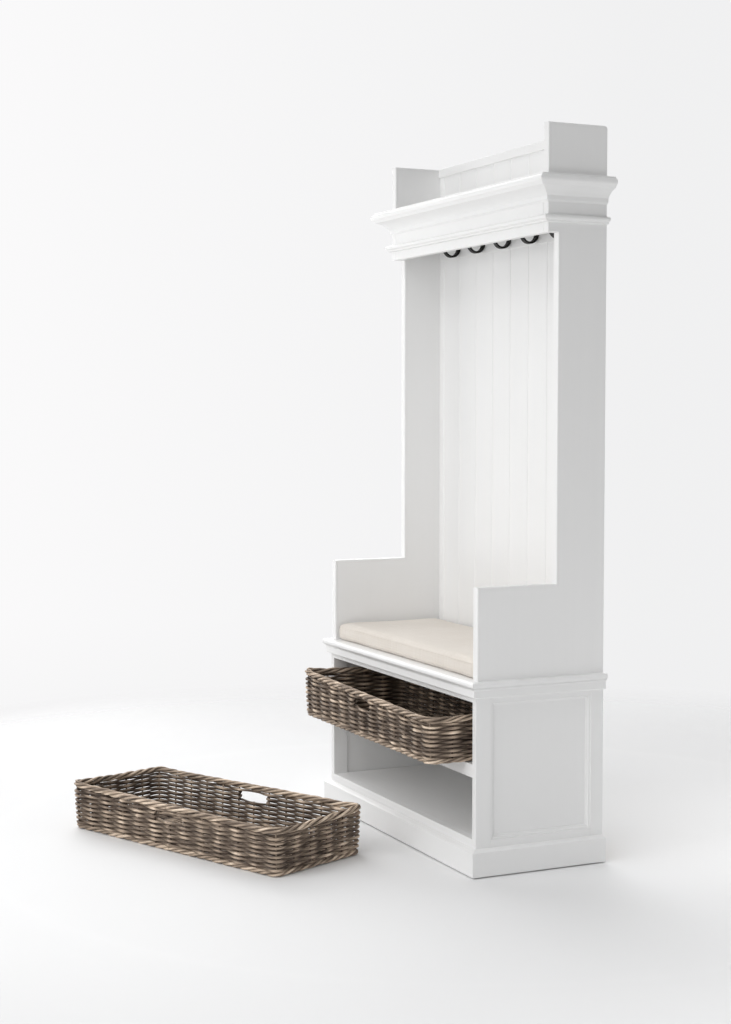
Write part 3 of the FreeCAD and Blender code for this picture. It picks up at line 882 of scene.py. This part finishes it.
def base_tubes(random):
    """Rods along the basket over and under sticks that run across it."""
    half_x = wall_half_x - cane_inset
    half_y = wall_half_y - cane_inset
    stick_pitch = 2.0 * half_x / base_gaps
    outer_y = half_y - base_rod_pitch / 2.0
    x = np.linspace(-half_x, half_x, base_gaps * 8 + 1)
    tubes = []
    for row, y in enumerate(np.linspace(-outer_y, outer_y, int(2.0 * half_y / base_rod_pitch))):
        swing = base_swing * np.cos(np.pi * (x / stick_pitch + row))
        path = np.column_stack([x, np.full(len(x), y), base_middle + swing])
        tint, thickness = rod_lengths(random, (x + half_x) / stick_pitch, 4, 9)
        tubes.append(tube(path, base_rod_radius * thickness, straight_up, thin_sides, False,
                          0.8 * tint, start_of_fibres(random)))
    y = np.linspace(-half_y, half_y, 5)
    level = np.ones(len(y))
    for number in range(-(base_gaps // 2), base_gaps // 2 + 1):
        path = np.column_stack([level * number * stick_pitch, y, level * base_middle])
        tubes.append(tube(path, stick_radius, straight_up, thin_sides, False, 0.3))
    return tubes


print("border and base functions ready")

# %% [markdown]
# ## Two baskets
#
# Both baskets are the same size but woven by hand, so each gets its own random numbers from a
# fixed seed. One stands square in the upper compartment. The other stands turned on the floor,
# and its place and turn are measured on the frame's own base, so the cane lands exactly there.

# %% Uneven rims
rim_twist = 0.038


def warped(points, lean):
    """A hand-woven basket is never true: opposite corners ride up and the others settle.

    Height is scaled by one plus the twist times x times y, each as a share of its half size,
    plus the lean times x. The foot stays flat because its height is nought.
    """
    x = points[:, 0] / wall_half_x
    y = points[:, 1] / wall_half_y
    return points * np.column_stack([np.ones((len(points), 2)), 1.0 + rim_twist * x * y + lean * x])


# %% Build a basket
def build_basket(body, seed, lean):
    """All the cane of one basket, moved to the place of its body and riding on it."""
    random = np.random.default_rng(seed)
    border_middle = (border_foot + border_top) / 2.0
    made = {
        "weave": (row_tubes(random) + turned_row_tubes(random), ("sides", "ends")),
        "stakes": (stake_tubes(random), ()),
        "foot_rope": (rope_tubes(random, strands=3, twist=100.0 * MM, centre_side=1.2 * MM,
                                 centre_height=7.6 * MM, swing=(3.4 * MM, 3.2 * MM),
                                 radius=3.6 * MM, corner_lift=0.0), ()),
        "rim_rope": (rope_tubes(random, strands=4, twist=150.0 * MM, centre_side=1.2 * MM,
                                centre_height=border_middle, swing=(5.6 * MM, 5.3 * MM),
                                radius=3.7 * MM, corner_lift=4.5 * MM), ("border",)),
        "woven_base": (base_tubes(random), ("base",)),
    }
    centre, turn, _, _, low, _ = footprint(body + "_base")
    place = Matrix.Translation((centre[0], centre[1], low)) @ Matrix.Rotation(turn, 4, "Z")
    for piece, (tubes, nodes) in made.items():
        for one in tubes:
            one["points"] = warped(one["points"], lean)
        mesh = mesh_of_tubes(body + "_" + piece, tubes)
        mesh.transform(place)
        obj = object_from_mesh(body + "_" + piece, mesh, cane)
        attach(obj, body)
        if nodes:
            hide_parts(*(body + "_" + node for node in nodes))
        triangles = sum(len(t["quads"]) * 2 for t in tubes)
        print(obj.name, "triangles:", triangles, "turn:", round(math.degrees(turn), 2))


build_basket("upper_basket", 11, -0.03)
build_basket("floor_basket", 29, 0.0)

# %% [markdown]
# ## Canvas
#
# The cushion cover is undyed cotton canvas: a plain weave of slightly uneven yarns. Two crossed
# sine waves make the over and under of the yarns, and slow noise stretched along each yarn makes
# the thicker slubs. The cloth lies flat on top and turns down at the sides, so the weave reads an
# attribute that unrolls the cover instead of the bare coordinates.

# %% Canvas material
yarn_pitch = 1.3 * MM


def cotton_canvas():
    """Cream plain weave with slubs both ways and a soft sheen."""
    material, tree, shader, place = new_material("cotton_canvas")
    cloth = add(tree, "ShaderNodeAttribute", attribute_name="cloth_place").outputs["Vector"]
    split = add(tree, "ShaderNodeSeparateXYZ", {0: cloth})
    yarn = 2.0 * math.pi / yarn_pitch
    warp, weft = (maths(tree, "SINE", maths(tree, "MULTIPLY", split.outputs[axis], yarn))
                  for axis in (0, 1))
    weave = remap(tree, maths(tree, "MULTIPLY", warp, weft), -1.0, 1.0, 0.0, 1.0)
    slub_x, slub_y = (streaked(tree, cloth, stretch, coarse=1.2, fine=3.0)[0]
                      for stretch in ((7.0, 300.0, 1.0), (300.0, 7.0, 1.0)))
    slubs = weighted(tree, (0.5, slub_x), (0.5, slub_y))
    cloud = clouded(tree, place, scale=8.0, contrast=0.8)
    tone = weighted(tree, (0.45, slubs), (0.35, cloud), (0.2, weave))
    fill(tree, shader, {
        "Base Color": between(tree, tone, (0.70, 0.635, 0.565, 1.0), (0.83, 0.785, 0.725, 1.0)),
        "Roughness": remap(tree, slubs, 0.0, 1.0, 0.95, 0.82), "Specular IOR Level": 0.2,
        "Sheen Weight": 0.25, "Sheen Roughness": 0.5})
    bumped(tree, shader, weighted(tree, (1.0, weave), (0.8, slubs)), depth=0.4 * MM, strength=0.6)
    return material


canvas = cotton_canvas()
print("canvas:", canvas.name)

# %% [markdown]
# ## The seat cushion
#
# A box cushion is a foam slab in a sewn cover. The foam keeps the sides upright, and the cover
# rounds every edge and pulls the sides in a little between the corners. The blank is a box with
# rounded edges. Air pressure in a cloth simulation fills it. The swelling is then limited, so that
# it stays between the arms, and its underside is laid flat on the seat board.

# %% A soft box as the blank
seat_low, seat_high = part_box("seat_cushion")
front_bulge = np.array([0.0, 7.0, 0.0]) * MM
cushion_middle = (np.array(seat_low) - front_bulge + np.array(seat_high)) / 2.0
cushion_half = (np.array(seat_high) - np.array(seat_low) + front_bulge) / 2.0


def soft_box(half, round_over, around=96, upward=40):
    """A box with rounded corners and edges, as a ball pushed apart.

    Longitude runs round the plan and latitude from the bottom pole to the top pole. Each point
    of a unit ball is scaled by the rounding, then moved along each axis by what is left of the
    half size, towards the side that it is on.
    """
    longitude = (np.arange(around) + 0.5) * 2.0 * np.pi / around
    latitude = np.linspace(-np.pi / 2.0, np.pi / 2.0, upward)
    level = np.cos(latitude)[:, None]
    ball = np.stack([level * np.cos(longitude), level * np.sin(longitude),
                     np.sin(latitude)[:, None] * np.ones(around)], -1)
    return np.sign(np.round(ball, 9)) * (half - round_over) + round_over * ball


def grid_faces(rings, around):
    """Quads between neighbouring rings of a grid that is closed the second way."""
    ring = np.arange(rings - 1)[:, None] * around
    here = np.arange(around)[None, :]
    after = (here + 1) % around
    return np.stack([ring + here, ring + after, ring + around + after, ring + around + here],
                    -1).reshape(-1, 4)


blank_inset = np.array([1.0, 1.0, 2.0]) * MM
blank_rounding = np.array([11.0, 11.0, 13.0]) * MM
blank_grid = soft_box(cushion_half - blank_inset, blank_rounding)
blank = mesh_from_arrays("cushion_blank", blank_grid.reshape(-1, 3) + cushion_middle,
                         grid_faces(*blank_grid.shape[:2]))
print("blank points:", len(blank.vertices))

# %% Even mesh for the simulation
def evaluated_copy(obj, name):
    """The object's mesh with its modifiers, as a new mesh."""
    graph = bpy.context.evaluated_depsgraph_get()
    mesh = bpy.data.meshes.new_from_object(obj.evaluated_get(graph))
    mesh.name = name
    return mesh


worker = object_from_mesh("cushion_worker", blank, canvas)
remesh = worker.modifiers.new("even", "REMESH")
remesh.mode = "VOXEL"
remesh.voxel_size = 5.5 * MM
even_mesh = evaluated_copy(worker, "seat_cushion_cover")
bpy.data.objects.remove(worker)
rest_points = coordinates(even_mesh)
cushion = object_from_mesh("seat_cushion_cover", even_mesh, canvas)
print("even mesh points:", len(rest_points))

# %% Fill it with air
foam_and_air = {"quality": 5, "mass": 0.3, "tension_stiffness": 60.0,
                "compression_stiffness": 60.0, "shear_stiffness": 25.0, "bending_stiffness": 4.0,
                "use_pressure": True, "uniform_pressure_force": 4.0}


def inflate(obj, frames=20):
    """Run the cloth with gravity off and return where its points end."""
    cloth = obj.modifiers.new("fill", "CLOTH")
    for key, value in foam_and_air.items():
        setattr(cloth.settings, key, value)
    cloth.settings.effector_weights.gravity = 0.0
    for number in range(1, frames + 1):
        scene.frame_set(number)
    ended = evaluated_copy(obj, "filled")
    points = coordinates(ended)
    obj.modifiers.remove(cloth)
    bpy.data.meshes.remove(ended)
    scene.frame_set(1)
    return points


most_swelling = 9.0 * MM


filled_points = inflate(cushion)
moved = filled_points - rest_points
length = np.linalg.norm(moved, axis=1)
print("swelling in mm: mean", round(length.mean() / MM, 2), "most", round(length.max() / MM, 2))
moved *= np.minimum(1.0, most_swelling / np.maximum(length, 1e-9))[:, None]
cushion_points = rest_points + moved

# %% Lay it between the arms
pull = 1.5 * MM
clear_of_arms = 0.4 * MM
most_crown = 5.0 * MM
crown_ease = 8.0 * MM
above_board = 0.2 * MM


def settle(points):
    """Flatten the underside on the board, pull the sides in, and keep clear of the arms.

    The pull is a parabola: none at the corners and most halfway along a side. What rises over
    the top edge is eased by a hyperbolic tangent, which never reaches the most that is allowed.
    """
    across = (points - cushion_middle) / cushion_half
    for one, other in ((0, 1), (1, 0)):
        points[:, one] -= (np.sign(across[:, one]) * pull * (1.0 - across[:, other] ** 2)
                           * across[:, one] ** 8)
    low = cushion_middle - cushion_half + clear_of_arms
    high = cushion_middle + cushion_half - clear_of_arms
    points[:, :2] = np.clip(points[:, :2], low[:2], high[:2])
    rise = points[:, 2] - high[2]
    eased = high[2] + most_crown * np.tanh(rise / crown_ease)
    points[:, 2] = np.where(rise > 0.0, eased, points[:, 2])
    points[:, 2] = np.maximum(points[:, 2], seat_low[2] + above_board)
    return points


cushion_points = settle(cushion_points)
even_mesh.vertices.foreach_set("co", cushion_points.astype(np.float32).ravel())
even_mesh.update()
cushion.modifiers.new("smooth", "SUBSURF").levels = 1
cover_mesh = evaluated_copy(cushion, "seat_cushion_cover_final")
cushion.modifiers.clear()
cushion.data = cover_mesh
cover_mesh.shade_smooth()
print("cushion top in mm:", round(coordinates(cover_mesh)[:, 2].max() / MM, 1),
      "faces:", len(cover_mesh.polygons))

# %% Unroll the cover for its weave
edge_depth = 8.0 * MM


def unroll(points):
    """Lay the cover out flat: below the top edge a point moves outwards by its drop."""
    drop = np.clip(seat_high[2] - edge_depth - points[:, 2], 0.0, None)
    away = cushion_half[:2] - np.abs(points[:, :2] - cushion_middle[:2])
    beside = away[:, 0] < away[:, 1]
    flat = points[:, :2] - cushion_middle[:2]
    flat += np.sign(flat) * np.column_stack([beside, ~beside]) * drop[:, None]
    return np.column_stack([flat, np.zeros(len(flat))])


store(cover_mesh, "cloth_place", unroll(coordinates(cover_mesh)))
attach(cushion, "seat_cushion")
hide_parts("seat_cushion")
print("cover unrolled")

# %% [markdown]
# ## Seams of the cover
#
# The top and bottom panels are sewn to a strip that runs round the side. The seam shows as a fine
# ridge where the two layers meet. It is narrower than the simulation's mesh, so it is its own
# piece: a thin tube that follows the finished cover, found by moving a closed line onto it.

# %% Seam ridges
seam_radius = 1.3 * MM
seam_corner = 11.0 * MM
seam_step = 4.0 * MM
seam_heights = (seat_high[2] - 5.0 * MM, seat_low[2] + 7.0 * MM)


def seam_tube(height):
    """A thin closed tube that lies on the cover at one height all the way round.

    The cushion's rounded plan is walked in even steps. Each step's point is moved to the nearest
    point of the finished cover, and the tube is carried along those points.
    """
    run, corners, _ = closed_plan(cushion_half[0], cushion_half[1], seam_corner)
    steps = np.arange(0.0, run[-1], seam_step)
    plan = along(steps, run, corners)
    tree = BVHTree.FromPolygons([v.co for v in cover_mesh.vertices],
                                [p.vertices for p in cover_mesh.polygons])
    wanted = np.column_stack([plan + cushion_middle[:2], np.full(len(steps), height)])
    path = np.array([tree.find_nearest(Vector(point))[0] for point in wanted])
    for _ in range(2):
        path = (path + np.roll(path, 1, 0) + np.roll(path, -1, 0)) / 3.0
    return tube(path, seam_radius, straight_up, rod_sides, True, 0.0)


seam_mesh = mesh_of_tubes("seat_cushion_seams", [seam_tube(height) for height in seam_heights])
store(seam_mesh, "cloth_place", unroll(coordinates(seam_mesh)))
seams = object_from_mesh("seat_cushion_seams", seam_mesh, canvas)
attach(seams, "seat_cushion")
print("seam faces:", len(seam_mesh.polygons))

# %% [markdown]
# ## Floor and light
#
# The object stands on a pale studio floor without a horizon. The floor is a disc that fades out
# a few steps away, and the world behind it has nearly the same tone. The light of a white room is
# broad, which distant lights with a wide angle imitate: two on the left, one in front, and two
# weak ones, low on the right and overhead. Four softboxes near the object add what a distant light
# cannot: a change of tone along its height, and a lit floor behind it.

# %% Studio floor
def make_floor(radius=24.0, rings=48, around=96, fade=(1.3, 2.7)):
    """A disc whose rings widen with the square of their number, clear beyond the fade."""
    out = radius * (np.arange(rings) / (rings - 1.0)) ** 2
    angle = np.arange(around) * 2.0 * np.pi / around
    points = np.stack([out[:, None] * np.cos(angle), out[:, None] * np.sin(angle),
                       np.full((rings, around), -0.2 * MM)], -1)
    mesh = mesh_from_arrays("studio_floor", points.reshape(-1, 3), grid_faces(rings, around)[:, ::-1])
    material, tree, shader, place = new_material("studio_floor")
    cloud = clouded(tree, place, scale=0.6, contrast=0.6)
    away = add(tree, "ShaderNodeVectorMath", {0: place}, operation="LENGTH").outputs[1]
    fill(tree, shader, {
        "Base Color": between(tree, cloud, (0.86, 0.862, 0.865, 1.0), (0.83, 0.832, 0.836, 1.0)),
        "Alpha": remap(tree, away, *fade, 1.0, 0.0), "Roughness": 0.85, "Specular IOR Level": 0.15})
    floor = object_from_mesh("studio_floor", mesh, material)


make_floor()

# %% World
def make_world(bright, dim, low, above, below):
    """Two backgrounds: a soft gradient that the camera sees, and a light for the object.

    The second one is weak above the horizon. Below it, it is as bright as the floor that has
    faded out there, so that undersides are lit as they would be over a floor without end.
    """
    world = bpy.data.worlds.new("studio")
    world.use_nodes = True
    tree = world.node_tree
    even = tree.nodes["Background"]
    even.inputs[0].default_value = (1.0, 1.0, 1.0, 1.0)
    towards = add(tree, "ShaderNodeTexCoord").outputs["Generated"]
    upwards = add(tree, "ShaderNodeSeparateXYZ", {0: towards}).outputs[2]
    tree.links.new(remap(tree, upwards, -0.03, 0.03, below, above), even.inputs[1])
    sideways = add(tree, "ShaderNodeVectorMath", {0: towards, 1: (0.418, 0.908, 0.0)},
                   operation="DOT_PRODUCT").outputs["Value"]
    wall = between(tree, remap(tree, sideways, -0.2, 0.16, 0.0, 1.0), bright, dim)
    sweep = between(tree, remap(tree, upwards, -0.34, -0.12, 1.0, 0.0), wall, low)
    behind = add(tree, "ShaderNodeBackground", {0: sweep, 1: 1.0})
    path = add(tree, "ShaderNodeLightPath")
    mix = add(tree, "ShaderNodeMixShader", {0: path.outputs["Is Camera Ray"],
                                            1: even.outputs[0], 2: behind.outputs[0]})
    tree.links.new(mix.outputs[0], tree.nodes["World Output"].inputs[0])
    scene.world = world


make_world((0.955, 0.950, 0.955, 1.0), (0.875, 0.875, 0.880, 1.0), (0.84, 0.84, 0.845, 1.0),
           above=0.13, below=0.62)

# %% Distant lights
window_width = math.radians(50.0)


def distant(name, turn, height, strength):
    """A light far away, at a turn from the front towards the right and a height, in degrees."""
    data = bpy.data.lights.new(name, "SUN")
    data.energy = strength
    data.angle = window_width
    side = math.radians(turn)
    rise = math.radians(height)
    towards = Vector((math.sin(side) * math.cos(rise), -math.cos(side) * math.cos(rise), math.sin(rise)))
    linked(name, data).rotation_euler = (-towards).to_track_quat("-Z", "Y").to_euler()


distant("window_left_low", -100.0, 15.0, 1.35)
distant("window_left_high", -100.0, 50.0, 0.80)
distant("front_high", 20.0, 50.0, 0.96)
distant("right_low", 45.0, 12.0, 0.30)
distant("overhead", 20.0, 88.0, 0.36)

# %% Softboxes
def softbox(name, place, aim, size, power):
    """A glowing rectangle near the object, unseen by the camera."""
    data = bpy.data.lights.new(name, "AREA")
    data.shape = "RECTANGLE"
    data.size, data.size_y = size
    data.energy = power
    light = linked(name, data)
    light.location = place
    light.rotation_euler = (Vector(aim) - Vector(place)).to_track_quat("-Z", "Y").to_euler()
    light.visible_camera = False


softbox("softbox_front", (0.2, -2.6, 1.45), (0.0, 0.0, 1.45), (2.0, 1.6), 20.5)
softbox("softbox_left", (-2.3, -0.9, 1.2), (0.0, 0.0, 1.0), (1.6, 2.0), 14.3)
softbox("softbox_right", (2.6, 0.1, 0.65), (0.45, 0.0, 0.35), (1.2, 0.7), 6.0)
softbox("softbox_behind", (0.2, 1.0, 0.9), (0.2, 1.0, 0.0), (1.4, 0.9), 2.6)
scene.view_settings.view_transform = "Standard"
scene.cycles.use_denoising = True
